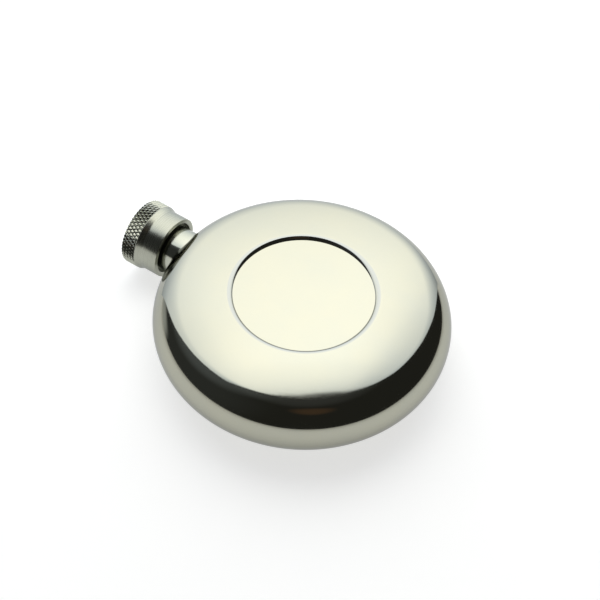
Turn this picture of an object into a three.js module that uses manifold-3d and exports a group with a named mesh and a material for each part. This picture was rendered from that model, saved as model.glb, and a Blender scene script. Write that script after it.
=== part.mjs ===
// Round pocket flask in titanium: two pressed shells welded into a lens-shaped body, a turned neck in its rim,
// and a knurled screw cap with a silicone seal. Millimetres, +Z up. The flask lies on its flat base, whose
// centre is the origin, and the neck points along +X.
import * as THREE from 'three';
import { mergeVertices, toCreasedNormals } from 'three/addons/utils/BufferGeometryUtils.js';
import Module from 'manifold-3d';

const wasm = await Module();
wasm.setup();

const degree = Math.PI / 180;

// Body: pressed sheet with a round rim and shallow spherical faces
const bodyDiameter = 85;
const sheetThickness = 0.6;
const rimRadius = 9.85;
const domeRadius = 168;

// Round recess stamped into the front face
const recessLipRadius = 21.5;
const recessDepth = 0.9;
const recessWallTilt = 70 * degree;
const lipInsideRound = 1.3;
const recessFloorRound = 0.2;

// Flat base pressed into the back face
const baseFlatRadius = 20;
const baseEdgeRound = 6;

// Neck: a turned tube with a smooth shank and a narrower end that carries the thread
const neckDiameter = 14;
const neckBore = 10;
const neckRootDepth = 1;
const threadRelief = 0.4;
const shankTaper = 0.6;
const lipChamfer = 0.5;

// Cap: smooth skirt, a flare, knurled grip and a chamfered end
const capStandOff = 2.9;
const capLength = 11.8;
const roofThickness = 1.3;
const mouthGap = 1;
const mouthDepth = 2.6;
const skirtWall = 1.4;
const skirtLength = 5.1;
const edgeBreak = 0.25;
const gripRise = 0.75;
const flareTilt = 27 * degree;
const flareRound = 1;
const endChamfer = 0.4;

// Diamond knurl of the grip: teeth round the cap, whole diamonds along it
const knurlTeeth = 54;
const knurlCells = 2;
const knurlDepth = 0.4;
const knurlRunOut = 0.15;

// Seal in the roof of the cap
const sealThickness = 1.3;
const sealEdgeBreak = 0.3;

// Gap left round a piece where it passes through or seats on another
const fitGap = 0.3;

// Fineness of the rounds
const bodyFacets = 48;
const neckFacets = 36;
const rimSteps = 7;
const domeSteps = 3;
const lipSteps = 4;
const smallRoundSteps = 3;
const creaseAngle = 25 * degree;

// Body sizes that follow: the dome's sphere touches the round of the rim from inside, so its centre lies on the
// flask's axis, this far behind the plane of the weld
const bodyRadius = bodyDiameter / 2;
const rimCentre = bodyRadius - rimRadius;
const domeDrop = Math.sqrt((domeRadius - rimRadius) ** 2 - rimCentre ** 2);
const rimEndTilt = Math.asin(rimCentre / (domeRadius - rimRadius));

// A round of the given size, centred at the given distance from the axis, that touches the dome from inside
function roundUnderDome(distance, round) {
  const reach = domeRadius - round;
  return {
    tilt: Math.asin(distance / reach),
    height: Math.sqrt(reach ** 2 - distance ** 2) - domeDrop,
  };
}

// Recess: the wall is as steep as its two rounds leave room for
const lipRound = lipInsideRound + sheetThickness;
const lip = roundUnderDome(recessLipRadius, lipRound);
const frontHeight = lip.height + lipRound;
const floorHeight = frontHeight - recessDepth;
const recessRounds = lipRound + recessFloorRound;
const steepestWall = Math.acos(1 - Math.min(1, recessDepth / recessRounds));
const wallTilt = Math.min(recessWallTilt, steepestWall);
const wallLength = (recessDepth - recessRounds * (1 - Math.cos(wallTilt))) / Math.sin(wallTilt);
const floorRadius = recessLipRadius - recessRounds * Math.sin(wallTilt) - wallLength * Math.cos(wallTilt);

// Base: the weld plane lies this far above it
const baseEdge = roundUnderDome(baseFlatRadius, baseEdgeRound);
const baseHeight = baseEdge.height + baseEdgeRound;

// Neck and cap radii, from the neck outwards
const neckRadius = neckDiameter / 2;
const boreRadius = neckBore / 2;
const threadRadius = neckRadius - threadRelief;
const capBoreRadius = threadRadius + fitGap;
const mouthRadius = neckRadius + mouthGap;
const skirtRadius = mouthRadius + skirtWall;
const gripRadius = skirtRadius + gripRise;
const sealRadius = capBoreRadius - fitGap;

// Places along the neck, measured from the flask's axis
const capMouth = bodyRadius + capStandOff;
const mouthEnd = capMouth + mouthDepth;
const skirtEnd = capMouth + skirtLength;
const flareLength = gripRise / Math.tan(flareTilt) + 2 * flareRound * Math.tan(flareTilt / 2);
const flareEnd = skirtEnd + flareLength;
const knurlStart = flareEnd + knurlRunOut;
const capEnd = capMouth + capLength;
const knurlEnd = capEnd - endChamfer;
const roofInside = capEnd - roofThickness;
const sealTop = roofInside - fitGap;
const sealBottom = sealTop - sealThickness;
const neckLip = sealBottom - fitGap;
const threadStart = mouthEnd - fitGap;
const shankEnd = threadStart - shankTaper;

// The neck's root reaches through the rim where the wall meets the top and bottom of the tube
const insideRim = rimRadius - sheetThickness;
const wallAtNeck = rimCentre + Math.sqrt(Math.max(0, insideRim ** 2 - neckRadius ** 2));
const neckRoot = wallAtNeck - neckRootDepth;

// Points of a round stretch of a profile, x away from the axis and y along it. A tilt of zero faces along the
// axis and a quarter turn faces away from it. A negative radius gives a hollow round.
function roundStretch(centreX, centreY, radius, fromTilt, toTilt, steps) {
  const points = [];
  for (let step = 0; step <= steps; step += 1) {
    const tilt = THREE.MathUtils.lerp(fromTilt, toTilt, step / steps);
    points.push(new THREE.Vector2(centreX + radius * Math.sin(tilt), centreY + radius * Math.cos(tilt)));
  }
  return points;
}

function point(x, y) {
  return new THREE.Vector2(x, y);
}

// Stretches end to end, without the points that two of them share
function joinStretches(...stretches) {
  const shared = 1e-6;
  const points = [];
  for (const next of stretches.flat()) {
    const last = points.at(-1);
    if (!last || last.distanceTo(next) > shared) {
      points.push(next);
    }
  }
  return points;
}

// One closed surface: vertices that coincide become one, and triangles that shrank to a line are dropped
function closeSurface(geometry) {
  geometry.deleteAttribute('normal');
  geometry.deleteAttribute('uv');
  const merged = mergeVertices(geometry);
  const corners = merged.index.array;
  const kept = [];
  for (let corner = 0; corner < corners.length; corner += 3) {
    const [a, b, c] = corners.slice(corner, corner + 3);
    if (a !== b && b !== c && c !== a) {
      kept.push(a, b, c);
    }
  }
  merged.setIndex(kept);
  return merged;
}

// A profile turned round the Z axis, as on a lathe; shape may still work on the lathe's own grid
function turn(profile, facets, shape = (lathe) => lathe) {
  const lathe = shape(new THREE.LatheGeometry(profile, facets));
  return closeSurface(lathe.rotateX(90 * degree));
}

function toSolid(geometry) {
  const mesh = new wasm.Mesh({
    numProp: 3,
    vertProperties: geometry.attributes.position.array,
    triVerts: new Uint32Array(geometry.index.array),
  });
  return new wasm.Manifold(mesh);
}

function toGeometry(solid) {
  const mesh = solid.getMesh();
  const geometry = new THREE.BufferGeometry();
  geometry.setAttribute('position', new THREE.BufferAttribute(mesh.vertProperties, 3));
  geometry.setIndex(new THREE.BufferAttribute(mesh.triVerts, 1));
  return geometry;
}

function namedPiece(name, geometry, finish) {
  const piece = new THREE.Mesh(toCreasedNormals(geometry, creaseAngle), new THREE.MeshStandardMaterial(finish));
  piece.name = name;
  return piece;
}

// Surface of the front half from the weld to the axis, at the given depth under the outer skin
function frontSurface(depth) {
  const floorCentre = floorHeight + recessFloorRound;
  return joinStretches(
    roundStretch(rimCentre, 0, rimRadius - depth, 90 * degree, rimEndTilt, rimSteps),
    roundStretch(0, -domeDrop, domeRadius - depth, rimEndTilt, lip.tilt, domeSteps),
    roundStretch(recessLipRadius, lip.height, lipRound - depth, lip.tilt, -wallTilt, lipSteps),
    roundStretch(floorRadius, floorCentre, -recessFloorRound - depth, -wallTilt, 0, smallRoundSteps),
    [point(0, floorHeight - depth)],
  );
}

// Surface of the back half, drawn facing up like the front one
function backSurface(depth) {
  return joinStretches(
    roundStretch(rimCentre, 0, rimRadius - depth, 90 * degree, rimEndTilt, rimSteps),
    roundStretch(0, -domeDrop, domeRadius - depth, rimEndTilt, baseEdge.tilt, domeSteps),
    roundStretch(baseFlatRadius, baseEdge.height, baseEdgeRound - depth, baseEdge.tilt, 0, smallRoundSteps),
    [point(0, baseHeight - depth)],
  );
}

// The hole for the neck, half in each shell, starts well inside the flask and leaves through the rim
function neckHole() {
  const start = rimCentre - neckRadius;
  const end = bodyRadius + neckRadius;
  const radius = neckRadius + fitGap;
  const drill = new THREE.CylinderGeometry(radius, radius, end - start, neckFacets);
  drill.rotateZ(90 * degree);
  drill.translate((start + end) / 2, 0, 0);
  return toSolid(closeSurface(drill));
}

function pressedShell(surface) {
  const profile = [...surface(sheetThickness).reverse(), ...surface(0)];
  const pressing = toSolid(turn(profile, bodyFacets));
  return toGeometry(pressing.subtract(neckHole()));
}

function turnedNeck() {
  const profile = [
    point(neckRadius, neckRoot),
    point(neckRadius, shankEnd),
    point(threadRadius, threadStart),
    point(threadRadius, neckLip - lipChamfer),
    point(threadRadius - lipChamfer, neckLip),
    point(boreRadius + lipChamfer, neckLip),
    point(boreRadius, neckLip - lipChamfer),
    point(boreRadius, neckRoot),
    point(neckRadius, neckRoot),
  ];
  return turn(profile, neckFacets);
}

// Every second crossing of the lathe's grid drops to the bottom of a groove, which leaves a four-sided pyramid
// at each of the others. The two triangles of a cell then meet along its groove.
function cutKnurl(lathe, pointCount, firstRow) {
  const grooveShare = (gripRadius - knurlDepth) / gripRadius;
  const position = lathe.attributes.position;
  for (let facet = 0; facet <= 2 * knurlTeeth; facet += 1) {
    for (let row = 0; row <= 2 * knurlCells; row += 1) {
      const crossing = facet * pointCount + firstRow + row;
      const inGroove = (facet + row) % 2 === 1;
      if (inGroove) {
        position.setX(crossing, position.getX(crossing) * grooveShare);
        position.setZ(crossing, position.getZ(crossing) * grooveShare);
      }
      const hasCell = facet < 2 * knurlTeeth && row < 2 * knurlCells;
      if (inGroove && hasCell) {
        const cell = 6 * (facet * (pointCount - 1) + firstRow + row);
        lathe.index.setX(cell + 2, crossing + pointCount + 1);
        lathe.index.setX(cell + 5, crossing);
      }
    }
  }
  return lathe;
}

function knurledCap() {
  const steepest = 90 * degree + flareTilt;
  const beforeKnurl = [
    point(0, roofInside),
    point(capBoreRadius, roofInside),
    point(capBoreRadius, mouthEnd),
    point(mouthRadius, mouthEnd),
    point(mouthRadius, capMouth + edgeBreak),
    point(mouthRadius + edgeBreak, capMouth),
    point(skirtRadius - edgeBreak, capMouth),
    point(skirtRadius, capMouth + edgeBreak),
    ...roundStretch(skirtRadius + flareRound, skirtEnd, -flareRound, 90 * degree, steepest, smallRoundSteps),
    ...roundStretch(gripRadius - flareRound, flareEnd, flareRound, steepest, 90 * degree, smallRoundSteps),
  ];
  const knurlRows = [];
  for (let row = 0; row <= 2 * knurlCells; row += 1) {
    knurlRows.push(point(gripRadius, THREE.MathUtils.lerp(knurlStart, knurlEnd, row / (2 * knurlCells))));
  }
  const afterKnurl = [
    point(gripRadius - endChamfer, capEnd),
    point(0, capEnd),
  ];
  const profile = [...beforeKnurl, ...knurlRows, ...afterKnurl];
  return turn(profile, 2 * knurlTeeth, (lathe) => cutKnurl(lathe, profile.length, beforeKnurl.length));
}

function sealDisc() {
  const profile = [
    point(0, sealBottom),
    point(sealRadius - sealEdgeBreak, sealBottom),
    point(sealRadius, sealBottom + sealEdgeBreak),
    point(sealRadius, sealTop - sealEdgeBreak),
    point(sealRadius - sealEdgeBreak, sealTop),
    point(0, sealTop),
  ];
  return turn(profile, neckFacets);
}

// Finishes: mirror-polished body, finely turned neck and cap, milky silicone
const polishedTitanium = { color: '#dcdacb', roughness: 0.08, metalness: 1 };
const turnedTitanium = { color: '#c4c2b6', roughness: 0.28, metalness: 1 };
const silicone = { color: '#e9e6dc', roughness: 0.6, metalness: 0 };

// The body's shells meet at the weld plane, the back one turned over
const body = new THREE.Group();
body.position.z = baseHeight;
const frontShell = namedPiece('front_shell', pressedShell(frontSurface), polishedTitanium);
const backShell = namedPiece('back_shell', pressedShell(backSurface), polishedTitanium);
backShell.rotation.x = 180 * degree;
body.add(frontShell, backShell);

// The neck and what goes on it lie along +X, in the weld plane
const spout = new THREE.Group();
spout.position.z = baseHeight;
spout.rotation.y = 90 * degree;
spout.add(
  namedPiece('neck', turnedNeck(), turnedTitanium),
  namedPiece('cap', knurledCap(), turnedTitanium),
  namedPiece('cap_seal', sealDisc(), silicone),
);

const flask = new THREE.Group();
flask.add(body, spout);

export default flask;
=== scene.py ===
# %% [markdown]
# # A round titanium pocket flask
# The flask is a lens of pressed titanium sheet, polished like a mirror, with a shallow round recess in
# its face and a short neck in its rim. A knurled screw cap closes the neck. This lesson dresses a packed
# CAD model of it: every piece is rebuilt with a fine, smooth mesh in the same place, and gets the finish
# of real metal. A mirror shows its surroundings, so the light is as much a part of the looks as the metal
# is.

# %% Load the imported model
import math

import bmesh
import bpy
from mathutils import Matrix, Vector


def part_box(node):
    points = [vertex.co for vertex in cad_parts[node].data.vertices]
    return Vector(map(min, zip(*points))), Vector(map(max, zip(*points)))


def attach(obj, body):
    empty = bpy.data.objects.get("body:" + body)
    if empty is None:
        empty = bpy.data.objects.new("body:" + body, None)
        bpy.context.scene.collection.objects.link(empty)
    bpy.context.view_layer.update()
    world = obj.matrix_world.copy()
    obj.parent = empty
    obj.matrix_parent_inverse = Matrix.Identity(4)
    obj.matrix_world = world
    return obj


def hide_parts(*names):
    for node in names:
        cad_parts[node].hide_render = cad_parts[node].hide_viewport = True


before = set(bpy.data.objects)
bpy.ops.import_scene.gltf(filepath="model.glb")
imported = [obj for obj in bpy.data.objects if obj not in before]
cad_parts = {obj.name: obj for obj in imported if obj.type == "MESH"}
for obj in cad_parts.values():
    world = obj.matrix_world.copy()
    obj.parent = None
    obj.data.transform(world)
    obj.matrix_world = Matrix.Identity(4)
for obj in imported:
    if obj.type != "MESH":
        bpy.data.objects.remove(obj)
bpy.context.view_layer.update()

# %% [markdown]
# ## Sizes
# The CAD model already holds the real sizes, so the outer ones are read from its boxes. Only the sizes
# that a box can't tell, such as the radius of the rim, are written here. Profiles are drawn in
# millimetres, as a turner would draw them, and are brought to Blender's metres when the mesh is made.

# %% Read the main sizes from the frame
MM = 0.001


def box_in_mm(node):
    """The lowest and highest corner of a CAD node, in millimetres."""
    low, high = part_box(node)
    return low / MM, high / MM


shell_low = box_in_mm("front_shell")[0]
neck_low, neck_high = box_in_mm("neck")
cap_low, cap_high = box_in_mm("cap")
seal_low, seal_high = box_in_mm("cap_seal")
body_radius = -shell_low.x
weld_height = (neck_low.z + neck_high.z) / 2
print(f"body radius {body_radius:.2f} mm, weld and neck axis {weld_height:.3f} mm above the base")

# %% [markdown]
# ## Helpers for meshes
# Everything on this flask was turned or pressed round an axis, so one helper sweeps a closed profile
# round the body's upright axis or round the neck's axis. Blender has a Screw modifier and a Spin tool for
# this, but a few lines of code give full control over the rows of points, which the knurl and the thread
# need later.

# %% Sweep a profile round an axis
def arc(centre, radius, tilt_from, tilt_to, steps):
    """Points along a round stretch of a profile. A tilt is measured from straight up, in degrees."""
    points = []
    for step in range(steps + 1):
        tilt = math.radians(tilt_from + (tilt_to - tilt_from) * step / steps)
        points.append((centre[0] + radius * math.sin(tilt), centre[1] + radius * math.cos(tilt)))
    return points


def stretch(start, end, steps):
    """Points along a straight stretch of a profile, without its first point."""
    shares = [step / steps for step in range(1, steps + 1)]
    return [(start[0] + (end[0] - start[0]) * s, start[1] + (end[1] - start[1]) * s) for s in shares]


def upright(radius, height, turn):
    """A point of the body: the profile turns round the upright axis, from the weld up."""
    return Vector((radius * math.cos(turn), radius * math.sin(turn), weld_height + height)) * MM


def lengthwise(radius, place, turn):
    """A point of the neck or cap: the profile turns round the neck's axis, along +X."""
    return Vector((place, radius * math.cos(turn), weld_height + radius * math.sin(turn))) * MM


def finished_mesh(name, work):
    """Turns the faces of a mesh in the making outwards, and links it to the scene as a piece."""
    bmesh.ops.recalc_face_normals(work, faces=work.faces)
    mesh = bpy.data.meshes.new(name)
    work.to_mesh(mesh)
    work.free()
    piece = bpy.data.objects.new(name, mesh)
    bpy.context.scene.collection.objects.link(piece)
    return piece


def swept(name, profile, segments, axis):
    """A closed profile of (radius, height) points, swept round an axis to a closed mesh."""
    turns = [2 * math.pi * segment / segments for segment in range(segments)]
    work = bmesh.new()
    rings = []
    for radius, height in profile:
        on_axis = radius < 1e-9
        ring_turns = [0.0] if on_axis else turns
        rings.append([work.verts.new(axis(radius, height, turn)) for turn in ring_turns])
    for near, far in zip(rings, rings[1:] + rings[:1]):
        for side in range(segments):
            beside = (side + 1) % segments
            corners = [near[side % len(near)], near[beside % len(near)]]
            corners += [far[beside % len(far)], far[side % len(far)]]
            different = list(dict.fromkeys(corners))
            if len(different) > 2:
                work.faces.new(different)
    return finished_mesh(name, work)


def applied(piece):
    """Turns a piece with its modifiers into a plain mesh, in place."""
    graph = bpy.context.evaluated_depsgraph_get()
    mesh = bpy.data.meshes.new_from_object(piece.evaluated_get(graph))
    piece.modifiers.clear()
    piece.data = mesh


def smoothed(piece, sharp_angle):
    """Shades a piece smooth, except along edges that are sharper than the angle in degrees."""
    piece.data.shade_smooth()
    piece.data.set_sharp_from_angle(angle=math.radians(sharp_angle))
    print(f"{piece.name}: {len(piece.data.polygons)} faces")


# %% [markdown]
# ## Helpers for nodes and colour
# Materials and Geometry Nodes are both trees of nodes, so one small function adds a node to either kind,
# with its settings, and another fills the inputs of a node with values or links. Colours are picked as
# sRGB hex values, as on a screen, and the shader works in linear light, so one function converts them.

# %% Add nodes and convert colours
def plug(tree, node, inputs):
    """Fills inputs of a node. Each gets a value, a socket, or a node whose first output is linked."""
    for socket, value in inputs.items():
        if isinstance(value, bpy.types.Node):
            value = value.outputs[0]
        if isinstance(value, bpy.types.NodeSocket):
            tree.links.new(value, node.inputs[socket])
        else:
            node.inputs[socket].default_value = value


def add(tree, kind, inputs=None, **settings):
    """Adds a node with its settings, and fills its inputs."""
    node = tree.nodes.new(kind)
    for setting, value in settings.items():
        setattr(node, setting, value)
    plug(tree, node, inputs or {})
    return node


def linear(hex_colour):
    """An sRGB hex colour as linear red, green, blue and alpha."""
    shares = [int(hex_colour[place:place + 2], 16) / 255 for place in (1, 3, 5)]
    light = [s / 12.92 if s <= 0.04045 else ((s + 0.055) / 1.055) ** 2.4 for s in shares]
    return (*light, 1.0)


def new_material(name):
    """An empty material with its tree, a Principled shader and the Object coordinates."""
    material = bpy.data.materials.new(name)
    material.use_nodes = True
    tree = material.node_tree
    tree.nodes.clear()
    shader = add(tree, "ShaderNodeBsdfPrincipled")
    add(tree, "ShaderNodeOutputMaterial", {"Surface": shader})
    place = add(tree, "ShaderNodeTexCoord").outputs["Object"]
    return material, tree, shader, place


# %% [markdown]
# ## Mirror-polished titanium
# Titanium is a greyer metal than silver or steel, with a faint straw tint, and reflects a little under
# half of the light. The shells were buffed on a wheel: the mirror is nearly clear, with a soft haze that
# comes and goes over a few centimetres and fine buffing marks. Roughness carries both. The bump is the
# orange peel of pressed sheet, about a micrometre high and some millimetres wide, which makes reflected
# edges waver slightly. A grey ring painted along the lip of the recess is painted shade: it stands in for
# the shade on the lip's rounding.

# %% Mirror-polished titanium
# The tint darkens the metal a little towards grazing angles, where titanium reflects less
bare_metal = {"Metallic": 1.0, "Specular Tint": linear("#D6D7DA")}


def mirror_polished_titanium():
    haze_width = 24 * MM
    buffing_width = 0.5 * MM
    peel_width = 5 * MM
    peel_height = 0.001 * MM
    lip_ring = 20.9 * MM
    lip_width = 0.75 * MM
    lip_dullness = 0.7
    clearest, haziest = 0.05, 0.10
    material, tree, shader, place = new_material("mirror_polished_titanium")
    haze = add(tree, "ShaderNodeTexNoise", {"Vector": place, "Scale": 1 / haze_width, "Detail": 6.0,
                                            "Roughness": 0.65})
    tint = add(tree, "ShaderNodeMix", {"Factor": haze, 6: linear("#A2A49B"), 7: linear("#ADAB9A")},
               data_type="RGBA")
    across = add(tree, "ShaderNodeVectorMath", {0: place, 1: (1.0, 1.0, 0.0)}, operation="MULTIPLY")
    reach = add(tree, "ShaderNodeVectorMath", {0: across}, operation="LENGTH")
    off_lip = add(tree, "ShaderNodeMath", {0: reach.outputs["Value"], 1: lip_ring}, operation="SUBTRACT")
    beside = add(tree, "ShaderNodeMath", {0: off_lip}, operation="ABSOLUTE")
    # Painted shade: a grey ring along the lip of the recess, blended into the tint
    dull = add(tree, "ShaderNodeMapRange", {"Value": beside, "From Min": lip_width,
                                            "From Max": lip_width / 3, "To Max": lip_dullness},
               interpolation_type="SMOOTHSTEP")
    tint = add(tree, "ShaderNodeMix", {"Factor": dull, 6: tint.outputs[2], 7: linear("#949899")},
               data_type="RGBA")
    marks = add(tree, "ShaderNodeTexNoise", {"Vector": place, "Scale": 1 / buffing_width, "Detail": 2.0})
    soft = add(tree, "ShaderNodeMath", {0: haze, 1: marks}, operation="MULTIPLY")
    rough = add(tree, "ShaderNodeMapRange", {"Value": soft, "From Min": 0.1, "From Max": 0.4,
                                             "To Min": clearest, "To Max": haziest})
    peel = add(tree, "ShaderNodeTexNoise", {"Vector": place, "Scale": 1 / peel_width, "Detail": 1.0})
    bump = add(tree, "ShaderNodeBump", {"Height": peel, "Distance": peel_height, "Strength": 1.0})
    plug(tree, shader, {"Base Color": tint.outputs[2], "Roughness": rough, "Normal": bump, **bare_metal})
    return material


polished_titanium = mirror_polished_titanium()
print("made", polished_titanium.name)

# %% [markdown]
# ## Turned titanium
# The neck and cap come from a lathe, whose tool leaves fine rings round the axis, some hundredths of a
# millimetre apart. Real rings are too fine to show in the render, so they are drawn 0.15 mm apart. The
# tool runs along the outside and then inwards over the end, so the noise is counted along X plus the
# radius, and the end of the cap shows its rings too. They blur a reflection along the axis and leave it
# sharper round the piece: anisotropy does that, with a tangent that runs round X. One function makes
# three finishes, because the cap was left as turned, the neck was polished, and the knurl was burnished
# by the wheels that rolled it.

# %% Turned titanium
def turned_titanium(name, finest, coarsest, one_way, darkest, lightest):
    ring_spacing = 0.15 * MM
    ring_height = 0.0005 * MM
    stain_width = 6 * MM
    quarter_turn = 0.25
    material, tree, shader, place = new_material(name)
    from_axis = add(tree, "ShaderNodeVectorMath", {0: place, 1: (0.0, 0.0, weld_height * MM)},
                    operation="SUBTRACT")
    across = add(tree, "ShaderNodeVectorMath", {0: from_axis, 1: (0.0, 1.0, 1.0)}, operation="MULTIPLY")
    radius = add(tree, "ShaderNodeVectorMath", {0: across}, operation="LENGTH").outputs["Value"]
    along = add(tree, "ShaderNodeSeparateXYZ", {0: place})
    tool_path = add(tree, "ShaderNodeMath", {0: along, 1: radius}, operation="ADD")
    rings = add(tree, "ShaderNodeTexNoise", {"W": tool_path, "Scale": 1 / ring_spacing, "Detail": 2.0},
                noise_dimensions="1D")
    stain = add(tree, "ShaderNodeTexNoise", {"Vector": place, "Scale": 1 / stain_width, "Detail": 3.0})
    tint = add(tree, "ShaderNodeMix", {"Factor": stain, 6: linear(darkest), 7: linear(lightest)},
               data_type="RGBA")
    rough = add(tree, "ShaderNodeMapRange", {"Value": rings, "To Min": finest, "To Max": coarsest})
    bump = add(tree, "ShaderNodeBump", {"Height": rings, "Distance": ring_height, "Strength": 1.0})
    round_axis = add(tree, "ShaderNodeTangent", direction_type="RADIAL", axis="X")
    plug(tree, shader, {"Base Color": tint.outputs[2], "Roughness": rough, "Normal": bump, **bare_metal})
    plug(tree, shader, {"Tangent": round_axis, "Anisotropic": one_way, "Anisotropic Rotation": quarter_turn})
    return material


# Satin, with a highlight drawn out along the axis
lathe_turned_titanium = turned_titanium(
    "lathe_turned_titanium", finest=0.23, coarsest=0.31, one_way=0.85,
    darkest="#9A9C90", lightest="#A6A79B")
# Nearly a mirror, with crisp edges in the reflection
lathe_polished_titanium = turned_titanium(
    "lathe_polished_titanium", finest=0.10, coarsest=0.15, one_way=0.85,
    darkest="#A8AA9D", lightest="#B3B4A7")
# Small bright glints on every facet, the same in all directions
roll_burnished_titanium = turned_titanium(
    "roll_burnished_titanium", finest=0.07, coarsest=0.11, one_way=0.0,
    darkest="#9C9E92", lightest="#A8A99D")
for finish in (lathe_turned_titanium, lathe_polished_titanium, roll_burnished_titanium):
    print("made", finish.name)

# %% [markdown]
# ## Pickled titanium, and silicone
# The inside of the body is never polished. It keeps the matt grey of sheet that was cleaned in acid,
# which one sees only down the neck with the cap off. The seal in the cap is milky silicone rubber: soft,
# slightly translucent and never quite clean.

# %% Pickled titanium and milky silicone
def pickled_titanium():
    grain_width = 0.4 * MM
    material, tree, shader, place = new_material("pickled_titanium")
    grain = add(tree, "ShaderNodeTexNoise", {"Vector": place, "Scale": 1 / grain_width, "Detail": 3.0})
    tint = add(tree, "ShaderNodeMix", {"Factor": grain, 6: linear("#8E8C86"), 7: linear("#A19F98")},
               data_type="RGBA")
    rough = add(tree, "ShaderNodeMapRange", {"Value": grain, "To Min": 0.4, "To Max": 0.6})
    plug(tree, shader, {"Base Color": tint.outputs[2], "Roughness": rough, **bare_metal})
    return material


def milky_silicone():
    cloud_width = 3 * MM
    material, tree, shader, place = new_material("milky_silicone")
    cloud = add(tree, "ShaderNodeTexNoise", {"Vector": place, "Scale": 1 / cloud_width, "Detail": 2.0})
    tint = add(tree, "ShaderNodeMix", {"Factor": cloud, 6: linear("#E4E2D8"), 7: linear("#EDEBE2")},
               data_type="RGBA")
    rough = add(tree, "ShaderNodeMapRange", {"Value": cloud, "To Min": 0.4, "To Max": 0.55})
    plug(tree, shader, {"Base Color": tint.outputs[2], "Roughness": rough, "IOR": 1.41})
    plug(tree, shader, {"Subsurface Weight": 0.2, "Subsurface Scale": 0.5 * MM})
    shader.inputs["Subsurface Radius"].default_value = (1.0, 0.9, 0.8)
    return material


inside_titanium = pickled_titanium()
seal_silicone = milky_silicone()
print("made", inside_titanium.name, "and", seal_silicone.name)

# %% [markdown]
# ## The outline of the body
# Both shells share one outline: a small round rim that runs smoothly into a wide, flat dome. Working from
# the weld, the rim is an arc that ends where it has the slope of the dome. A mirror shows the least kink,
# so the arcs meet with the same slope, and there are many points along them.

# %% Rim and dome, shared by both shells
rim_radius = 9.85
dome_radius = 168.0
sheet_thickness = 0.6
rim_centre = body_radius - rim_radius
dome_drop = math.sqrt((dome_radius - rim_radius) ** 2 - rim_centre ** 2)
rim_end_tilt = math.degrees(math.asin(rim_centre / (dome_radius - rim_radius)))
weld_sliver = 0.2
body_segments = 256


def round_under_dome(distance, radius):
    """Height and tilt of a round edge that runs into the dome, with its centre at a distance."""
    reach = dome_radius - radius
    tilt = math.degrees(math.asin(distance / reach))
    return math.sqrt(reach ** 2 - distance ** 2) - dome_drop, tilt


def rim_and_dome(depth, dome_end_tilt, rim_steps, dome_steps):
    """The outline from the weld to the end of the dome, at a depth below the outside."""
    rim = arc((rim_centre, 0), rim_radius - depth, 90 - weld_sliver, rim_end_tilt, rim_steps)
    weld = [(rim_centre + rim_radius - depth, 0.0)]
    dome = arc((0, -dome_drop), dome_radius - depth, rim_end_tilt, dome_end_tilt, dome_steps)
    return weld + rim + dome[1:]


def shell_section(end_tilt, middle, round_steps):
    """A shell's closed section: the outside, and back along the inside in coarser steps."""
    outside = rim_and_dome(0, end_tilt, rim_steps=48, dome_steps=24)
    outside += middle(0, round_steps, floor_steps=12)
    inside = rim_and_dome(sheet_thickness, end_tilt, rim_steps=16, dome_steps=8)
    inside += middle(sheet_thickness, 4, floor_steps=2)
    return outside + inside[::-1]


print(f"the rim ends at a tilt of {rim_end_tilt:.2f} degrees")

# %% [markdown]
# ## Front shell
# The front shell has a recess, stamped as a round step: a rounded lip, a small hollow and a flat floor.
# At this depth the two rounds meet, with no straight wall between them. The lip is a thin bright ring in
# the mirror, so it gets the true rounding of pressed sheet. The sheet is equally thick everywhere, and
# its inside is modelled too, because the neck opens into it. The floor is bare metal, polished like the
# rest.

# %% Front shell with its stamped recess
lip_distance = 21.5
lip_round = 1.9
hollow_round = 0.2
recess_depth = 0.9
wall_tilt = math.degrees(math.acos(1 - recess_depth / (lip_round + hollow_round)))


def recess(depth, lip_steps, floor_steps):
    """The outline of the recess from the end of the dome to the axis, at a depth below the outside."""
    lip_height, lip_tilt = round_under_dome(lip_distance, lip_round)
    lip = arc((lip_distance, lip_height), lip_round - depth, lip_tilt, -wall_tilt, lip_steps)
    floor_height = lip_height + lip_round - recess_depth - depth
    hollow = hollow_round + depth
    hollow_centre = lip_distance - (lip_round + hollow_round) * math.sin(math.radians(wall_tilt))
    corner = arc((hollow_centre, floor_height + hollow), hollow, 180 - wall_tilt, 180, lip_steps)
    floor = stretch(corner[-1], (0.0, floor_height), floor_steps)
    return lip[1:] + corner[1:] + floor


lip_tilt = round_under_dome(lip_distance, lip_round)[1]
front_outline = shell_section(lip_tilt, recess, round_steps=16)
front_shell = swept("flask_front_shell", front_outline, body_segments, upright)
print("front shell outline:", len(front_outline), "points")

# %% [markdown]
# ## Back shell
# The back shell is the same pressing without the recess: its dome ends in a wide soft round and a flat
# base, on which the flask lies. The outline is drawn as for the front and turned upside down.

# %% Back shell with its flat base
base_radius = 20.0
base_round = 6.0


def flat_base(depth, round_steps, floor_steps):
    """The outline from the end of the dome over the soft round to the axis."""
    height, tilt = round_under_dome(base_radius, base_round)
    edge = arc((base_radius, height), base_round - depth, tilt, 0, round_steps)
    return edge[1:] + stretch(edge[-1], (0.0, edge[-1][1]), floor_steps)


base_tilt = round_under_dome(base_radius, base_round)[1]
back_outline = [(radius, -height) for radius, height in shell_section(base_tilt, flat_base, round_steps=8)]
back_shell = swept("flask_back_shell", back_outline, body_segments, upright)
print("back shell outline:", len(back_outline), "points")

# %% [markdown]
# ## The hole for the neck
# The neck is welded into a hole in the rim, half of it in each shell. A Boolean modifier cuts it with a
# plain round cutter. The hole is a little narrower than the neck, so its edge stays hidden in the neck's
# wall. Then the inside of each shell gets its own matt finish: a face is inside if it looks towards the
# middle of the chamber.

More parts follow.
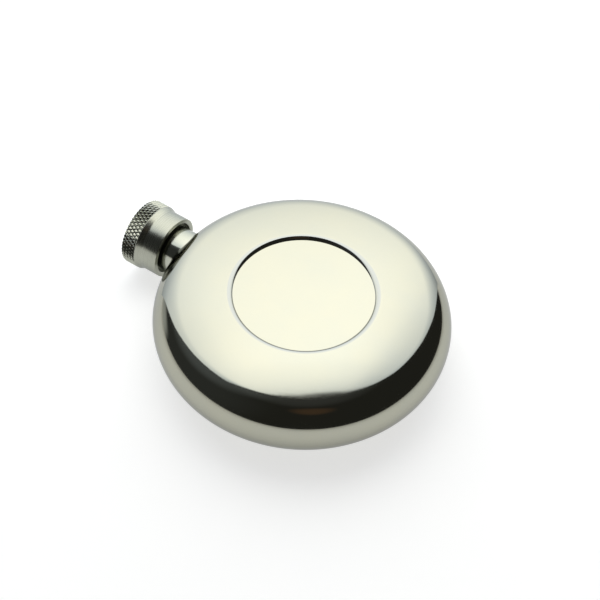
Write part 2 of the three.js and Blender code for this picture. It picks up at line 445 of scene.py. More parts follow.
# %% Cut the hole and finish the shells
bore_radius = 5.0
hole_margin = 0.3
hole_radius = bore_radius + hole_margin
cutter_start = neck_low.x - 6
cutter_profile = [(0.0, cutter_start), (hole_radius, cutter_start)]
cutter_profile += [(hole_radius, cap_high.x), (0.0, cap_high.x)]
cutter = swept("hole_cutter", cutter_profile, 96, lengthwise)
for shell in (front_shell, back_shell):
    shell.data.materials.append(polished_titanium)
    shell.data.materials.append(inside_titanium)
    hole = shell.modifiers.new("neck hole", "BOOLEAN")
    hole.object = cutter
    hole.operation = "DIFFERENCE"
    hole.solver = "EXACT"
    applied(shell)
    for face in shell.data.polygons:
        ring_centre = Vector((face.center.x, face.center.y, 0)).normalized() * rim_centre * MM
        middle = ring_centre + Vector((0, 0, weld_height * MM))
        if face.center.to_2d().length < rim_centre * MM:
            middle = Vector((face.center.x, face.center.y, weld_height * MM))
        face.material_index = 1 if face.normal.dot(middle - face.center) > 0 else 0
    smoothed(shell, 30)
bpy.data.objects.remove(cutter)

# %% [markdown]
# ## The weld round the neck
# Where the neck meets the rim, the weld was dressed to a very small hollow. Its edge is the curve in
# which a cylinder cuts a ring, which a formula gives. The hollow's section is a curve with three control
# points: it leaves the rim, turns at the corner and runs out along the neck. Behind it, the section
# closes in the metal.

# %% Weld fillet
neck_radius = (neck_high.y - neck_low.y) / 2
weld_size = 0.25
weld_steps = 8
weld_segments = 192


def rim_place(distance, turn):
    """How far along X the rim lies, at a distance from the neck's axis and a turn round it."""
    across = distance * math.cos(turn)
    height = distance * math.sin(turn)
    reach = rim_centre + math.sqrt(rim_radius ** 2 - height ** 2)
    return math.sqrt(reach ** 2 - across ** 2)


def weld_section(turn):
    """Points (radius, place) round the weld's section at one turn round the neck."""
    corner = Vector((neck_radius, rim_place(neck_radius, turn)))
    on_rim = Vector((neck_radius + weld_size, rim_place(neck_radius + weld_size, turn)))
    on_neck = corner + Vector((0, weld_size))
    section = []
    for step in range(weld_steps + 1):
        share = step / weld_steps
        section.append(on_rim.lerp(corner, share).lerp(corner.lerp(on_neck, share), share))
    section.append(on_neck - Vector((weld_size, 0)))
    section.append(corner - Vector((weld_size, weld_size)))
    section.append(on_rim - Vector((0, weld_size)))
    return section


def weld_fillet(name):
    """The closed ring of the weld, section by section round the neck."""
    work = bmesh.new()
    rings = []
    for segment in range(weld_segments):
        turn = 2 * math.pi * segment / weld_segments
        rings.append([work.verts.new(lengthwise(r, x, turn)) for r, x in weld_section(turn)])
    for near, far in zip(rings, rings[1:] + rings[:1]):
        for side in range(len(near)):
            beside = (side + 1) % len(near)
            work.faces.new([near[side], near[beside], far[beside], far[side]])
    return finished_mesh(name, work)


weld = weld_fillet("neck_weld")
weld.data.materials.append(polished_titanium)
smoothed(weld, 50)

# %% [markdown]
# ## Helpers for Geometry Nodes
# The thread and the knurl follow a rule, so they suit Geometry Nodes: a tree takes a plain turned blank
# and moves its points towards the neck's axis or away from it. Both trees begin by asking where a point lies
# along the axis and round it, and both end by moving it, so they share these steps.

# %% Steps that both trees share
def new_tree(name, sizes):
    """A Geometry Nodes tree with a named float input for each size. Returns the tree and its input node."""
    tree = bpy.data.node_groups.new(name, "GeometryNodeTree")
    tree.interface.new_socket("Geometry", in_out="INPUT", socket_type="NodeSocketGeometry")
    for size in sizes:
        tree.interface.new_socket(size, in_out="INPUT", socket_type="NodeSocketFloat")
    tree.interface.new_socket("Material", in_out="INPUT", socket_type="NodeSocketMaterial")
    tree.interface.new_socket("Geometry", in_out="OUTPUT", socket_type="NodeSocketGeometry")
    return tree, add(tree, "NodeGroupInput").outputs


def polar(tree, axis_height):
    """Where each point lies along X, its turn round the neck's axis, its radius and the way outwards."""
    place = add(tree, "GeometryNodeInputPosition")
    axis = add(tree, "ShaderNodeCombineXYZ", {"Z": axis_height})
    seen_from_axis = add(tree, "ShaderNodeVectorMath", {0: place, 1: axis}, operation="SUBTRACT")
    parts = add(tree, "ShaderNodeSeparateXYZ", {0: seen_from_axis})
    angle = add(tree, "ShaderNodeMath", {0: parts.outputs["Z"], 1: parts.outputs["Y"]}, operation="ARCTAN2")
    turn = add(tree, "ShaderNodeMath", {0: angle, 1: 2 * math.pi}, operation="DIVIDE")
    across = add(tree, "ShaderNodeCombineXYZ", {"Y": parts.outputs["Y"], "Z": parts.outputs["Z"]})
    radius = add(tree, "ShaderNodeVectorMath", {0: across}, operation="LENGTH")
    outwards = add(tree, "ShaderNodeVectorMath", {0: across}, operation="NORMALIZE")
    return parts.outputs["X"], turn, radius.outputs["Value"], outwards


def within(tree, value, start, end, fade):
    """1 between start and end, falling to 0 over a fade at each side."""
    rise = add(tree, "ShaderNodeMath", {0: value, 1: start}, operation="SUBTRACT")
    fall = add(tree, "ShaderNodeMath", {0: end, 1: value}, operation="SUBTRACT")
    least = add(tree, "ShaderNodeMath", {0: rise, 1: fall}, operation="MINIMUM")
    return add(tree, "ShaderNodeMath", {0: least, 1: fade}, operation="DIVIDE", use_clamp=True)


def nearest_whole(tree, value):
    """How far a value lies from the nearest whole number."""
    shifted = add(tree, "ShaderNodeMath", {0: value, 1: 0.5}, operation="ADD")
    share = add(tree, "ShaderNodeMath", {0: shifted}, operation="FRACT")
    centred = add(tree, "ShaderNodeMath", {0: share, 1: 0.5}, operation="SUBTRACT")
    return add(tree, "ShaderNodeMath", {0: centred}, operation="ABSOLUTE")


def moved_outwards(tree, given, outwards, amount):
    """Ends a tree: moves the points, realizes instances and sets the material."""
    offset = add(tree, "ShaderNodeVectorMath", {0: outwards, "Scale": amount}, operation="SCALE")
    moved = add(tree, "GeometryNodeSetPosition", {"Geometry": given["Geometry"], "Offset": offset})
    real = add(tree, "GeometryNodeRealizeInstances", {"Geometry": moved})
    finished = add(tree, "GeometryNodeSetMaterial", {"Geometry": real, "Material": given["Material"]})
    add(tree, "NodeGroupOutput", {"Geometry": finished})


def cut(piece, tree, sizes, material):
    """Adds a tree to a piece as a modifier, with its inputs set by their identifiers."""
    modifier = piece.modifiers.new(tree.name, "NODES")
    modifier.node_group = tree
    for item in tree.interface.items_tree:
        if item.in_out == "INPUT" and item.name in sizes:
            modifier[item.identifier] = sizes[item.name]
        if item.in_out == "INPUT" and item.name == "Material":
            modifier[item.identifier] = material


print("steps ready for the thread and the knurl")

# %% [markdown]
# ## Cutting a thread
# On a screw thread, the further round, the further along. The place along X minus the turn round the axis,
# both counted in pitches, tells where a point lies between two ridges, and the tree pushes the points of a
# ridge outwards. The same tree serves the neck, where the ridges stand out, and the inside of the cap, where
# they become grooves that fit round them.

# %% Thread tree
def thread_tree():
    """Raises a right-hand helical ridge on a turned blank, between two places along X."""
    sizes = ["Axis Height", "Start", "End", "Pitch", "Height", "Ridge", "Flank", "Run Out", "Largest Radius"]
    tree, given = new_tree("screw thread", sizes)
    along, turn, radius, outwards = polar(tree, given["Axis Height"])
    pitches = add(tree, "ShaderNodeMath", {0: along, 1: given["Pitch"]}, operation="DIVIDE")
    phase = add(tree, "ShaderNodeMath", {0: pitches, 1: turn}, operation="SUBTRACT")
    off_ridge = nearest_whole(tree, phase)
    distance = add(tree, "ShaderNodeMath", {0: off_ridge, 1: given["Pitch"]}, operation="MULTIPLY")
    to_foot = add(tree, "ShaderNodeMath", {0: given["Ridge"], 1: distance}, operation="SUBTRACT")
    ridge = add(tree, "ShaderNodeMath", {0: to_foot, 1: given["Flank"]}, operation="DIVIDE", use_clamp=True)
    zone = within(tree, along, given["Start"], given["End"], given["Run Out"])
    inner = add(tree, "ShaderNodeMath", {0: radius, 1: given["Largest Radius"]}, operation="LESS_THAN")
    shaped = add(tree, "ShaderNodeMath", {0: ridge, 1: zone}, operation="MULTIPLY")
    chosen = add(tree, "ShaderNodeMath", {0: shaped, 1: inner}, operation="MULTIPLY")
    amount = add(tree, "ShaderNodeMath", {0: chosen, 1: given["Height"]}, operation="MULTIPLY")
    moved_outwards(tree, given, outwards, amount)
    return tree


screw_thread = thread_tree()
print("thread tree:", len(screw_thread.nodes), "nodes")

# %% [markdown]
# ## Neck
# The neck is a turned tube. Its shank is smooth where it shows between the body and the cap; the part
# under the cap is cut down to the root of the thread, and the tree raises the thread on it. The lip is
# rounded, because one drinks from it. Rows of points 0.1 mm apart leave the thread's flanks clean.

# %% Neck with its thread
thread_pitch = 1.5
thread_height = 0.8
thread_clearance = 0.12
ridge_half_width = 0.58
flank_width = 0.46
row_spacing = 0.1
shank_end = 47.1
shank_taper = 0.7
shank_edge_fall = 0.03
shank_edge_length = 0.1
crest_set_back = 0.05
thread_root = neck_radius - crest_set_back - thread_height
lip_rounding = 0.5
thread_start = shank_end + shank_taper
thread_end = neck_high.x - 2 * lip_rounding


def neck_profile():
    """The neck's section as (radius, place) points, from its inner end along the outside and back."""
    rows = round((thread_end - thread_start) / row_spacing)
    outside = [(neck_radius, neck_low.x), (neck_radius, shank_end - shank_edge_length)]
    outside += [(neck_radius - shank_edge_fall, shank_end)]
    outside += stretch(outside[-1], (thread_root, thread_start), 6)
    outside += stretch(outside[-1], (thread_root, thread_end), rows)
    lip_centre = neck_high.x - lip_rounding
    lip = arc((thread_root - lip_rounding, lip_centre), lip_rounding, 90, 0, 6)
    lip += arc((bore_radius + lip_rounding, lip_centre), lip_rounding, 0, -90, 6)
    return outside + lip + [(bore_radius, neck_low.x)]


thread_sizes = {
    "Axis Height": weld_height * MM,
    "Start": thread_start * MM,
    "End": thread_end * MM,
    "Pitch": thread_pitch * MM,
    "Height": thread_height * MM,
    "Ridge": ridge_half_width * MM,
    "Flank": flank_width * MM,
    "Run Out": thread_pitch / 2 * MM,
    "Largest Radius": (neck_radius - 0.1) * MM,
}
neck = swept("neck_tube", neck_profile(), 144, lengthwise)
neck.data.materials.append(lathe_polished_titanium)
cut(neck, screw_thread, thread_sizes, lathe_polished_titanium)
applied(neck)
smoothed(neck, 35)

# %% [markdown]
# ## Knurling with Geometry Nodes
# The grip of the cap was rolled between two knurling wheels, which press two sets of slanting grooves
# that cross, and leave rows of small pyramids. They slant by 30 degrees, so the diamonds are longer than
# wide. The tree does the same to a turned blank: it counts teeth round the cap and cells along it. Where
# their sum or difference is near a whole number, there is a groove, and the deeper of the two wins. A
# power above 1 rounds the tips, as wear does, and the grooves run out a little way down the flare.

# %% Knurl tree
def knurl_tree():
    """Presses crossing grooves into a turned blank, between two places along X."""
    sizes = ["Axis Height", "Start", "End", "Teeth", "Cell", "Depth", "Groove", "Roundness", "Run Out",
             "Grip Radius", "Least Radius"]
    tree, given = new_tree("diamond knurl", sizes)
    along, turn, radius, outwards = polar(tree, given["Axis Height"])
    teeth = add(tree, "ShaderNodeMath", {0: turn, 1: given["Teeth"]}, operation="MULTIPLY")
    from_start = add(tree, "ShaderNodeMath", {0: along, 1: given["Start"]}, operation="SUBTRACT")
    cells = add(tree, "ShaderNodeMath", {0: from_start, 1: given["Cell"]}, operation="DIVIDE")
    grooves = []
    for way in ("ADD", "SUBTRACT"):
        count = add(tree, "ShaderNodeMath", {0: teeth, 1: cells}, operation=way)
        off_groove = nearest_whole(tree, count)
        share = add(tree, "ShaderNodeMath", {0: off_groove, 1: given["Groove"]}, operation="DIVIDE",
                    use_clamp=True)
        flank = add(tree, "ShaderNodeMath", {0: 1.0, 1: share}, operation="SUBTRACT")
        grooves.append(add(tree, "ShaderNodeMath", {0: flank, 1: given["Roundness"]}, operation="POWER"))
    deeper = add(tree, "ShaderNodeMath", {0: grooves[0], 1: grooves[1]}, operation="MAXIMUM")
    zone = within(tree, along, given["Start"], given["End"], given["Run Out"])
    reached = add(tree, "ShaderNodeMath", {0: zone, 1: given["Depth"]}, operation="MULTIPLY")
    pressed = add(tree, "ShaderNodeMath", {0: deeper, 1: reached}, operation="MULTIPLY")
    wheel = add(tree, "ShaderNodeMath", {0: given["Grip Radius"], 1: pressed}, operation="SUBTRACT")
    over = add(tree, "ShaderNodeMath", {0: wheel, 1: radius}, operation="SUBTRACT")
    bitten = add(tree, "ShaderNodeMath", {0: over, 1: 0.0}, operation="MINIMUM")
    outer = add(tree, "ShaderNodeMath", {0: radius, 1: given["Least Radius"]}, operation="GREATER_THAN")
    amount = add(tree, "ShaderNodeMath", {0: bitten, 1: outer}, operation="MULTIPLY")
    moved_outwards(tree, given, outwards, amount)
    return tree


diamond_knurl = knurl_tree()
print("knurl tree:", len(diamond_knurl.nodes), "nodes")

# %% [markdown]
# ## Cap
# The cap is one turned piece. From the mouth, its outside is a smooth skirt with a broken edge, a short
# flare that opens to the wider grip, the knurl and a chamfered end. Inside are a wide mouth that leaves a
# dark gap round the neck, the thread, a relief groove and the roof. The knurl sets the rows of points along
# the grip: eight to each diamond.

# %% Sizes of the cap
grip_radius = (cap_high.y - cap_low.y) / 2
cap_mouth = cap_low.x
cap_end = cap_high.x
skirt_radius = 9.4
skirt_length = 5.2
flare_tilt = 23.0
flare_round = 1.2
edge_round = 0.2
mouth_radius = 8.0
mouth_depth = 2.6
roof_thickness = 1.3
knurl_teeth = 54
knurl_helix = 30.0
knurl_depth = 0.38
knurl_run_out = 0.45
groove_half_width = 0.46
tip_roundness = 1.3
rows_on_flare = 2
points_per_tooth = 8
grip_rows = 17
cap_thread_root = thread_root + thread_clearance
relief_radius = cap_thread_root + thread_height
skirt_end = cap_mouth + skirt_length
flare_rise = grip_radius - skirt_radius
flare_lean = math.tan(math.radians(flare_tilt))
flare_length = flare_rise / flare_lean + 2 * flare_round * math.tan(math.radians(flare_tilt / 2))
flare_end = skirt_end + flare_length
tooth_width = 2 * math.pi * grip_radius / knurl_teeth
diamond_length = tooth_width / math.tan(math.radians(knurl_helix))
row_length = diamond_length / points_per_tooth
knurl_end = flare_end + grip_rows * row_length
end_chamfer = cap_end - knurl_end
roof_inside = cap_end - roof_thickness
cap_thread_start = cap_mouth + mouth_depth
cap_thread_end = neck_high.x - 0.6
relief_slope = 0.3
mouth_slope = 0.1
thread_margin = 0.05
grip_margin = 0.1
end_face_limit = 0.95
print(f"flare {flare_length:.2f} mm long, diamonds {diamond_length:.2f} mm long")

# %% [markdown]
# ## The blank of the cap
# A turner makes the blank first and knurls it after. The flare is a cone, rounded at both ends. The blank
# has eight points to each tooth round the cap, and the faces of the grip are split in four, so that every
# groove and every tip of the knurl will fall on a point.

# %% Blank of the cap
def flare_height(on):
    """How far the flare stands out from the skirt, at a place along it: a cone, rounded at both ends."""
    bend = flare_round * math.sin(math.radians(flare_tilt))
    if on < bend:
        return flare_round - math.sqrt(flare_round ** 2 - on ** 2)
    if on > flare_length / 2:
        return flare_rise - flare_height(flare_length - on)
    return flare_round * (1 - math.cos(math.radians(flare_tilt))) + (on - bend) * flare_lean


def cap_profile():
    """The cap's section as (radius, place) points, from the mouth over the outside, and back inside."""
    mouth_edge = arc((skirt_radius - edge_round, cap_mouth + edge_round), edge_round, 180, 90, 5)
    outside = [(mouth_radius, cap_mouth + edge_round), (mouth_radius + edge_round, cap_mouth)] + mouth_edge
    outside += [(skirt_radius, skirt_end)]
    flare_rows = math.floor(flare_length / row_length * 2)
    for row in range(flare_rows, -1, -1):
        on = flare_length - row * row_length / 2
        outside.append((skirt_radius + flare_height(on), skirt_end + on))
    outside += stretch(outside[-1], (grip_radius, knurl_end), grip_rows)
    outside += stretch(outside[-1], (grip_radius - end_chamfer, cap_end), 3)
    outside += stretch(outside[-1], (0.0, cap_end), 4)
    rows = round((cap_thread_end - cap_thread_start) / row_spacing)
    inside = [(0.0, roof_inside), (relief_radius, roof_inside)]
    inside += [(relief_radius, cap_thread_end + relief_slope), (cap_thread_root, cap_thread_end)]
    inside += stretch(inside[-1], (cap_thread_root, cap_thread_start), rows)
    inside += [(mouth_radius, cap_thread_start - mouth_slope)]
    return outside + inside


def split_grip(piece):
    """Splits each face under the knurl in four, so that grooves of both ways fall on edges."""
    work = bmesh.new()
    work.from_mesh(piece.data)
    grip = []
    for face in work.faces:
        middle = face.calc_center_median() / MM
        across = math.hypot(middle.y, middle.z - weld_height)
        outside = across > skirt_radius + grip_margin and middle.x > skirt_end
        if outside and abs(face.normal.x) < end_face_limit:
            grip.append(face)
    bmesh.ops.poke(work, faces=grip)
    work.to_mesh(piece.data)
    work.free()


cap = swept("screw_cap", cap_profile(), knurl_teeth * points_per_tooth, lengthwise)
split_grip(cap)
cap.data.materials.append(lathe_turned_titanium)
print("cap blank:", len(cap.data.polygons), "faces")

# %% [markdown]
# ## Knurl and thread of the cap
# Two modifiers cut the blank: one presses the knurl into its outside, and one opens the thread inside it, as
# on the neck but a little wider. Once they are applied, the faces of the grip get the burnished finish.

# %% Cut the knurl and the thread
knurl_sizes = {
    "Axis Height": weld_height * MM,
    "Start": (flare_end - rows_on_flare * row_length) * MM,
    "End": (cap_end + knurl_run_out) * MM,
    "Teeth": float(knurl_teeth),
    "Cell": diamond_length * MM,
    "Depth": knurl_depth * MM,
    "Groove": groove_half_width,
    "Roundness": tip_roundness,
    "Run Out": knurl_run_out * MM,
    "Grip Radius": grip_radius * MM,
    "Least Radius": skirt_radius * MM,
}
inner_thread = dict(thread_sizes)
inner_thread["Start"] = (cap_thread_start - thread_pitch) * MM
inner_thread["End"] = (cap_thread_end + thread_pitch) * MM
inner_thread["Largest Radius"] = (cap_thread_root + thread_margin) * MM
cut(cap, diamond_knurl, knurl_sizes, lathe_turned_titanium)
cut(cap, screw_thread, inner_thread, lathe_turned_titanium)
applied(cap)
cap.data.materials.append(roll_burnished_titanium)
for face in cap.data.polygons:
    across = math.hypot(face.center.y, face.center.z - weld_height * MM)
    on_grip = flare_end * MM < face.center.x < knurl_end * MM
    if on_grip and across > skirt_radius * MM:
        face.material_index = 1
smoothed(cap, 30)

# %% [markdown]
# ## Seal
# A silicone disc lies in the roof of the cap. When the cap is tight, the lip of the neck presses into it,
# so an old seal keeps a ring-shaped print. The section is a rounded disc with that ring drawn in its
# lower face.

# %% Seal with the print of the lip
seal_radius = (seal_high.y - seal_low.y) / 2
seal_edge = 0.3
print_depth = 0.15
print_middle = (bore_radius + thread_root) / 2
print_half_width = 0.6
print_steps = 12
flat_middle = 2.5


def seal_profile():
    """The seal's section as (radius, place) points, from the lower face round the edge to the upper face."""
    low, high = seal_low.x, seal_high.x
    ring = []
    for step in range(print_steps + 1):
        across = -1 + 2 * step / print_steps
        depth = print_depth * (1 + math.cos(math.pi * across)) / 2
        ring.append((print_middle + print_half_width * across, low + depth))
    lower = [(0.0, low), (flat_middle, low)] + ring
    edge = arc((seal_radius - seal_edge, low + seal_edge), seal_edge, 180, 90, 4)
    edge += arc((seal_radius - seal_edge, high - seal_edge), seal_edge, 90, 0, 4)
    return lower + edge + [(0.0, high)]


seal = swept("cap_seal_disc", seal_profile(), 128, lengthwise)
seal.data.materials.append(seal_silicone)
smoothed(seal, 40)

# %% [markdown]
# ## Tie each piece to its body
# Every piece stands for a CAD node and rides on the body that carries it, so that the poses move it. The
# weld has no node of its own: it goes with the neck.

# %% Ride and replace
for piece, body, node, slot in (
    (front_shell, "flask", "front_shell", "polished_titanium"),
    (back_shell, "flask", "back_shell", "polished_titanium"),
    (neck, "flask", "neck", "turned_titanium"),
    (cap, "screw_cap", "cap", "turned_titanium"),
    (seal, "seal", "cap_seal", "silicone"),
):
    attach(piece, body)
    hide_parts(node)
    print(piece.name, "rides on", body)
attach(weld, "flask")

# %% [markdown]
# ## Camera
# The camera looks down at the flask from behind, with the cap away from it. Its place is given as a
# direction and a distance from the middle of the body, and it is aimed a little past that middle, as the
# photograph's framing asks. A small roll tilts the picture.

# %% Camera
camera_azimuth = math.radians(210.6)
camera_elevation = math.radians(51.8)
camera_roll = math.radians(3.55)
camera_distance = 0.390
aim_right = -0.0010
aim_up = 0.0051
middle = Vector((0, 0, weld_height * MM))


def view_axes(back):
    """The right and up directions of a level camera that looks against a direction."""
    right = Vector((0, 0, 1)).cross(back).normalized()
    return right, back.cross(right)


back = Vector((
    math.sin(camera_azimuth) * math.cos(camera_elevation),
    -math.cos(camera_azimuth) * math.cos(camera_elevation),
    math.sin(camera_elevation),
))
right, up = view_axes(back)
camera_place = middle + back * camera_distance
aim = middle + right * aim_right + up * aim_up
look_back = (camera_place - aim).normalized()
level_right, level_up = view_axes(look_back)
rolled_right = level_right * math.cos(camera_roll) + level_up * math.sin(camera_roll)
rolled_up = level_up * math.cos(camera_roll) - level_right * math.sin(camera_roll)
camera_data = bpy.data.cameras.new("camera")
camera_data.lens = 82.2
camera_data.sensor_width = 36.0
camera_data.clip_start = 0.01
camera = bpy.data.objects.new("camera", camera_data)
axes = Matrix((rolled_right, rolled_up, look_back)).transposed()
camera.matrix_world = Matrix.Translation(camera_place) @ axes.to_4x4()
bpy.context.scene.collection.objects.link(camera)
bpy.context.scene.camera = camera
print("camera at", [round(part, 4) for part in camera_place])

# %% [markdown]
# ## Floor
# The flask lies on a table of matt white acrylic. Light is painted on it, as on a table lit from below:
# the floor glows a little by itself, most of all round the flask, so that it comes out nearly white and
# the shadow stays pale. A faint cloud of grey keeps it from being one flat white.

# %% Floor
away = Vector((-back.x, -back.y, 0)).normalized()


def pale_floor_finish():
    """Matt white acrylic, slightly uneven, with painted light: it glows faintly, most of all round the
    flask.
    """
    speck_width = 40 * MM
    glow_near, glow_far = 0.64, 0.58
    material, tree, shader, place = new_material("white_acrylic")
    cloud = add(tree, "ShaderNodeTexNoise", {"Vector": place, "Scale": 1 / speck_width, "Detail": 2.0})
    rough = add(tree, "ShaderNodeMapRange", {"Value": cloud, "To Min": 0.30, "To Max": 0.36})
    tint = add(tree, "ShaderNodeMix", {"Factor": cloud, 6: linear("#C2C3C3"), 7: linear("#C6C6C4")},
               data_type="RGBA")
    # Painted light: the floor glows most within 0.12 m of the middle and less beyond 0.4 m
    distance = add(tree, "ShaderNodeVectorMath", {0: place}, operation="LENGTH").outputs["Value"]
    glow = add(tree, "ShaderNodeMapRange", {"Value": distance, "From Min": 0.12, "From Max": 0.4,
                                            "To Min": glow_near, "To Max": glow_far},
               interpolation_type="SMOOTHSTEP")
    plug(tree, shader, {"Base Color": tint.outputs[2], "Roughness": rough, "Specular IOR Level": 0.0})
    plug(tree, shader, {"Emission Color": linear("#FFFFFF"), "Emission Strength": glow})
    return material


def sheet(name, rows, material):
    """A sheet through rows of points, from its foot to its top, with UVs across it and upwards."""
    mesh = bpy.data.meshes.new(name)
    corners = [corner for row in rows for corner in row]
    width = len(rows[0])
    faces = []
    for row in range(len(rows) - 1):
        for side in range(width - 1):
            first = row * width + side
            faces.append((first, first + 1, first + width + 1, first + width))
    mesh.from_pydata(corners, [], faces)
    mesh.materials.append(material)
    cloth = mesh.uv_layers.new(name="sheet")
    for loop in mesh.loops:
        row, side = divmod(loop.vertex_index, width)
        cloth.data[loop.index].uv = (side / (width - 1), row / (len(rows) - 1))
    piece = bpy.data.objects.new(name, mesh)
    bpy.context.scene.collection.objects.link(piece)
    return piece


floor_half = 4.0
floor_drop = -0.00005
floor_rows = [[(x, y, floor_drop) for x in (-floor_half, floor_half)] for y in (-floor_half, floor_half)]
floor = sheet("floor", floor_rows, pale_floor_finish())
print("floor", floor_half * 2, "m wide")

# %% [markdown]
# ## The glow of a lit sheet
# Product photographs of mirrors are made with one large soft light and darkness elsewhere: the metal is
# bright where it sees the light and black where it sees the room. A sheet that is lit from behind is never
# even. Two curves make it weaker towards its sides, its foot and its top, and the weak parts are bluer.

# %% Glow of a lit sheet
def studio_point(side, depth, height):
    """A point in the studio, as the camera sees it: to the right, away and up, in millimetres."""
    return (right * side + away * depth + Vector((0, 0, height))) * MM


def panel_glow(name, strength):
    """Paper or plaster that is lit: bright in the middle, and weaker towards its sides, foot and top."""
    material = bpy.data.materials.new(name)
    material.use_nodes = True
    tree = material.node_tree
    tree.nodes.clear()
    cloth = add(tree, "ShaderNodeTexCoord").outputs["UV"]
    parts = add(tree, "ShaderNodeSeparateXYZ", {0: cloth})
    glow = 1.0
    for side, stops in (("X", glow_across), ("Y", glow_upwards)):
        share = add(tree, "ShaderNodeFloatCurve", {"Value": parts.outputs[side]})
        curve = share.mapping.curves[0]
        curve.points[0].location = stops[0]
        curve.points[-1].location = stops[-1]
        for place, height in stops[1:-1]:
            curve.points.new(place, height)
        share.mapping.update()
        glow = add(tree, "ShaderNodeMath", {0: glow, 1: share}, operation="MULTIPLY")
    warmth = add(tree, "ShaderNodeMapRange", {"Value": glow, "From Min": 0.45, "From Max": 0.95})
    colour = add(tree, "ShaderNodeMix", {"Factor": warmth, 6: linear("#EDF5FF"), 7: linear("#FFFEFA")},
                 data_type="RGBA")
    power = add(tree, "ShaderNodeMath", {0: glow, 1: strength}, operation="MULTIPLY")
    light = add(tree, "ShaderNodeEmission", {"Color": colour.outputs[2], "Strength": power})
    add(tree, "ShaderNodeOutputMaterial", {"Surface": light})
    return material


# Pairs of a place, from one side to the other or from foot to top, and the share of the full glow there
glow_across = [
    (0.0, 0.58), (0.05, 0.61), (0.10, 0.64), (0.15, 0.70), (0.22, 0.83), (0.28, 0.92), (0.35, 0.965),
    (0.42, 0.985), (0.50, 1.0), (0.60, 1.0), (0.68, 0.97), (0.75, 0.90), (0.80, 0.79), (0.86, 0.65),
    (0.93, 0.53), (1.0, 0.45),
]
glow_upwards = [
    (0.0, 0.55), (0.08, 0.62), (0.15, 0.72), (0.25, 0.89), (0.35, 0.97), (0.45, 0.99), (0.68, 1.0),
    (0.75, 0.95), (0.82, 0.90), (0.87, 0.85), (0.92, 0.79), (0.97, 0.72), (1.0, 0.66),
]
print("glow set by", len(glow_across), "points across and", len(glow_upwards), "upwards")

# %% [markdown]
# ## The bent sheet
# The light is a sheet of tracing paper that stands close behind the flask and bends over it. Its top edge
# draws the border between the bright dome and the dark band of the rim. The camera doesn't see the sheet,
# and it throws no shadow.

# %% Bent sheet over the flask
# Left and right end of each row as side, depth and height in millimetres, from the foot to the top
bend = [
    ((-130, 72, 0), (122, 116, 0)),
    ((-116, 48, 40), (116, 88, 40)),
    ((-108, 24, 82), (111, 61, 82)),
    ((-107, 13, 130), (110, 51, 130)),
    ((-107, 4, 190), (110, 43, 190)),
    ((-107, -7.5, 252), (112, 40.8, 252)),
]
# The top edge isn't cut straight: its height at five places from left to right
top_edge = [252, 224, 262, 262, 215]
shares = [place / (len(top_edge) - 1) for place in range(len(top_edge))]
bent_rows = []
for left_end, right_end in bend:
    row = [Vector(left_end).lerp(Vector(right_end), share) for share in shares]
    bent_rows.append([studio_point(*point) for point in row])
for corner, height in zip(bent_rows[-1], top_edge):
    corner.z = height * MM
sheet_strength = 2.52
diffuser = sheet("bent_diffuser", bent_rows, panel_glow("lit_tracing_paper", sheet_strength))
diffuser.visible_camera = False
diffuser.visible_shadow = False
print("bent sheet of", len(bend), "rows")

# %% [markdown]
# ## A far wall and a lamp overhead
# The sheet stands too close to light the floor evenly. So a lit wall stands far behind it, and a wide
# lamp hangs overhead. Both are hidden from glossy rays: they brighten the floor and soften the shadow,
# and the mirror doesn't show them.

# %% Wall and lamp
wall_rows = [(studio_point(-1290, 840, 0), studio_point(1185, 1245, 0)),
             (studio_point(-1290, 318, 3180), studio_point(1185, 798, 3180))]
wall_strength = 2.16
wall = sheet("lit_wall", wall_rows, panel_glow("lit_white_wall", wall_strength))
wall.visible_camera = False
wall.visible_glossy = False
fill_data = bpy.data.lights.new("floor_fill", "AREA")
fill_data.shape = "DISK"
fill_data.size = 3.0
fill_data.energy = 10.0
fill = bpy.data.objects.new("floor_fill", fill_data)
fill.location = (0, 0, 2.5)
fill.visible_glossy = False
bpy.context.scene.collection.objects.link(fill)
print("lit wall and a lamp", fill_data.size, "m wide")

# %% [markdown]
# ## Surroundings
# The rest of the room is dark, with a pale band along the horizon, where the far end of the table turns
# up, and a few dim glows. Each glow is a direction, how narrow it is, and a colour in linear light. The
# camera itself sees a plain pale backdrop instead, so that low views of the flask are not set against the
# dark.

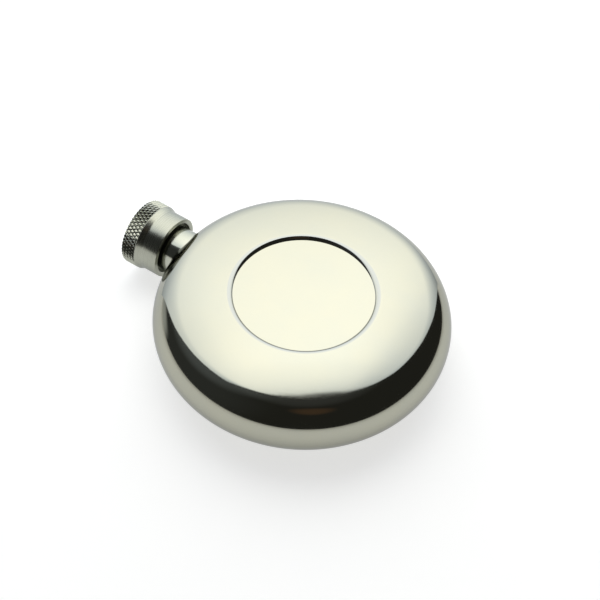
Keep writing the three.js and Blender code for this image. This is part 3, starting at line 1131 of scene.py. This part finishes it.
# %% World
world = bpy.data.worlds.new("studio")
bpy.context.scene.world = world
world.use_nodes = True
sky = world.node_tree
sky.nodes.clear()
direction = add(sky, "ShaderNodeTexCoord").outputs["Generated"]
rise = add(sky, "ShaderNodeSeparateXYZ", {0: direction}).outputs["Z"]
band = add(sky, "ShaderNodeMapRange", {"Value": rise, "From Min": 0.045, "From Max": 0.08, "To Min": 1.0,
                                       "To Max": 0.0}, interpolation_type="SMOOTHSTEP")
dark_room = (0.028, 0.028, 0.025, 1.0)
pale_horizon = (0.74, 0.74, 0.72, 1.0)
pale_backdrop = (0.95, 0.95, 0.95, 1.0)
# The ceiling, a window high on the left, the left of the room, its bright horizon, a warm lamp at the front
glow_places = [
    ((0.0, 0.1, 1.0), 0.90, (0.032, 0.034, 0.036, 1.0)),
    ((-0.50, 0.22, 0.84), 0.86, (0.075, 0.084, 0.094, 1.0)),
    ((-0.90, -0.10, 0.42), 0.50, (0.020, 0.023, 0.026, 1.0)),
    ((-0.87, 0.44, 0.08), 0.965, (0.50, 0.52, 0.52, 1.0)),
    ((0.13, -0.48, 0.87), 0.975, (0.060, 0.028, 0.010, 1.0)),
]
glow = dark_room
for (side, depth, height), narrowness, colour in glow_places:
    towards = (right * side + away * depth + Vector((0, 0, height))).normalized()
    facing = add(sky, "ShaderNodeVectorMath", {0: direction, 1: towards}, operation="DOT_PRODUCT")
    share = add(sky, "ShaderNodeMapRange", {"Value": facing.outputs["Value"], "From Min": narrowness},
                interpolation_type="SMOOTHSTEP")
    lit = add(sky, "ShaderNodeMix", {"Factor": share, 6: glow, 7: colour}, data_type="RGBA",
              blend_type="ADD")
    glow = lit.outputs[2]
room = add(sky, "ShaderNodeMix", {"Factor": band, 6: glow, 7: pale_horizon}, data_type="RGBA")
seen = add(sky, "ShaderNodeLightPath").outputs["Is Camera Ray"]
backdrop = add(sky, "ShaderNodeMix", {"Factor": seen, 6: room.outputs[2], 7: pale_backdrop},
               data_type="RGBA")
surroundings = add(sky, "ShaderNodeBackground", {"Color": backdrop.outputs[2], "Strength": 1.0})
add(sky, "ShaderNodeOutputWorld", {"Surface": surroundings})
bpy.context.scene.view_settings.view_transform = "Standard"
print("world:", len(sky.nodes), "nodes")
